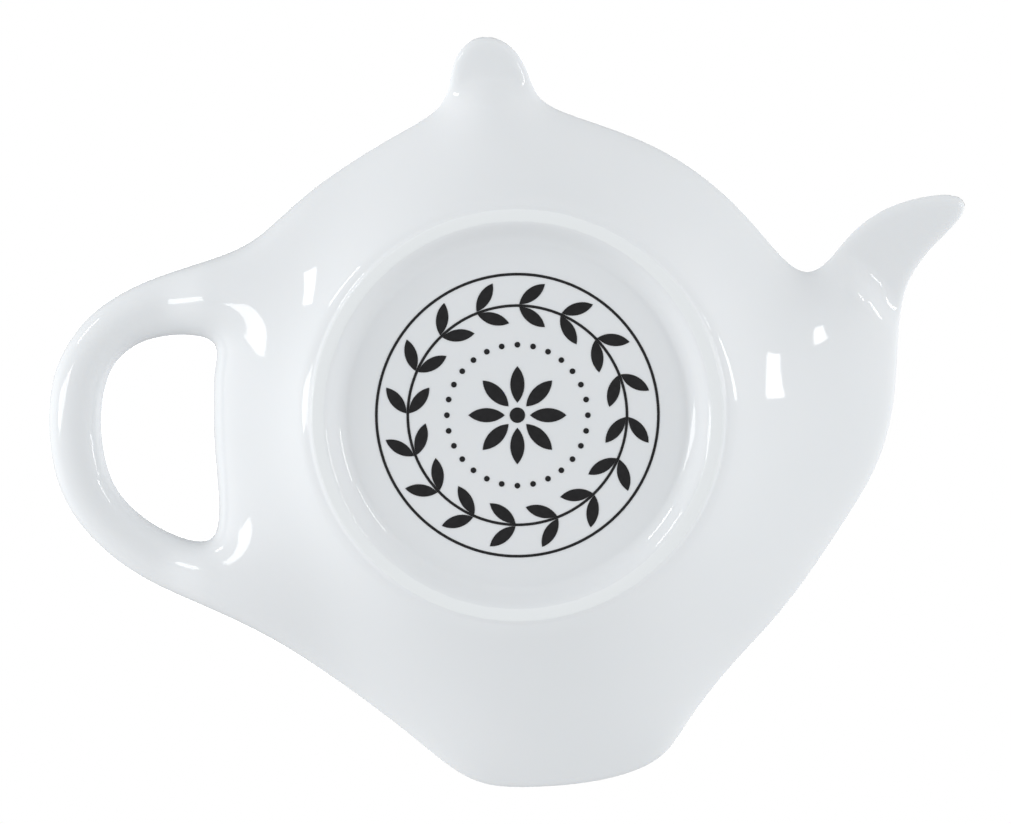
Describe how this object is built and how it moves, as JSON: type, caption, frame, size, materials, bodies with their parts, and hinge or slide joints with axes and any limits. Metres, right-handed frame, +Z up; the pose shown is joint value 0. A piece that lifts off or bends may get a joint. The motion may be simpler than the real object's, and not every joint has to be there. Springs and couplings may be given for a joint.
{
  "type": "tea bag rest",
  "caption": "Shallow glazed china dish with the outline of a teapot, with a looped handle, spout and knob, standing on a foot ring, to hold a used tea bag.",
  "frame": {"origin": "on the table, under the middle of the outline's box", "axes": "+Z up out of the well, +Y towards the knob, +X towards the handle, so the spout points towards -X and +Y"},
  "size_m": [0.1379, 0.113, 0.0166],
  "materials": {
    "white_glaze": "gloss",
    "foot_glaze": "gloss",
    "black_print": "gloss"
  },
  "bodies": {
    "root": {"dish_body": "white_glaze", "foot_ring": "foot_glaze", "handle": "white_glaze", "spout": "white_glaze", "knob": "white_glaze", "base_print": "black_print"}
  },
  "joints": []
}
